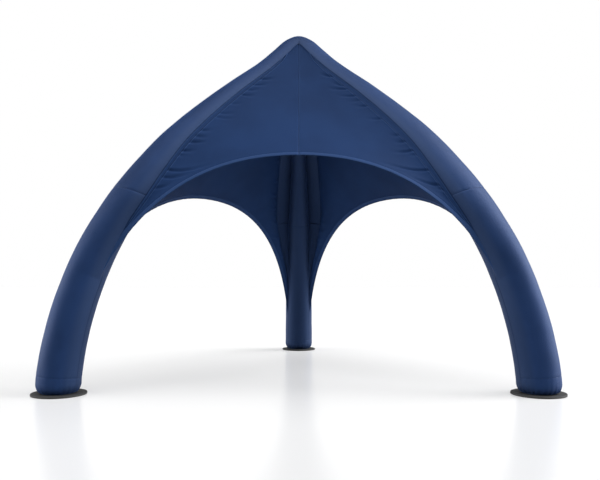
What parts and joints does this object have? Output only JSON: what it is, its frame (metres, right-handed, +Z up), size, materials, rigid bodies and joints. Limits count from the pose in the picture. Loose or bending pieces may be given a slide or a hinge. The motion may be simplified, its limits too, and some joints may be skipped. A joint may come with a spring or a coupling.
{
  "type": "inflatable tripod tent",
  "caption": "Inflatable tripod tent: curved tapering air legs on round base plates meet at an apex and hold taut roof panels with arched openings between them.",
  "frame": {"origin": "on the ground, at the middle of the plan", "axes": "+Z up, +X to the right seen from the front, +Y from the front archway to the rear leg"},
  "size_m": [4.6808, 4.1144, 3.691],
  "materials": {
    "leg_cloth": "coated woven polyester, soft sheen",
    "roof_cloth": "coated woven polyester, taut",
    "base_plate": "matte moulded"
  },
  "bodies": {
    "root": {"base_plate_left": "base_plate", "base_plate_right": "base_plate", "base_plate_rear": "base_plate", "boot_left": "leg_cloth", "boot_right": "leg_cloth", "boot_rear": "leg_cloth", "leg_lower_left": "leg_cloth", "leg_lower_right": "leg_cloth", "leg_lower_rear": "leg_cloth", "leg_upper_left": "leg_cloth", "leg_upper_right": "leg_cloth", "leg_upper_rear": "leg_cloth", "panel_front_left": "roof_cloth", "panel_front_right": "roof_cloth", "panel_rear_left": "roof_cloth", "panel_rear_right": "roof_cloth"}
  },
  "joints": []
}
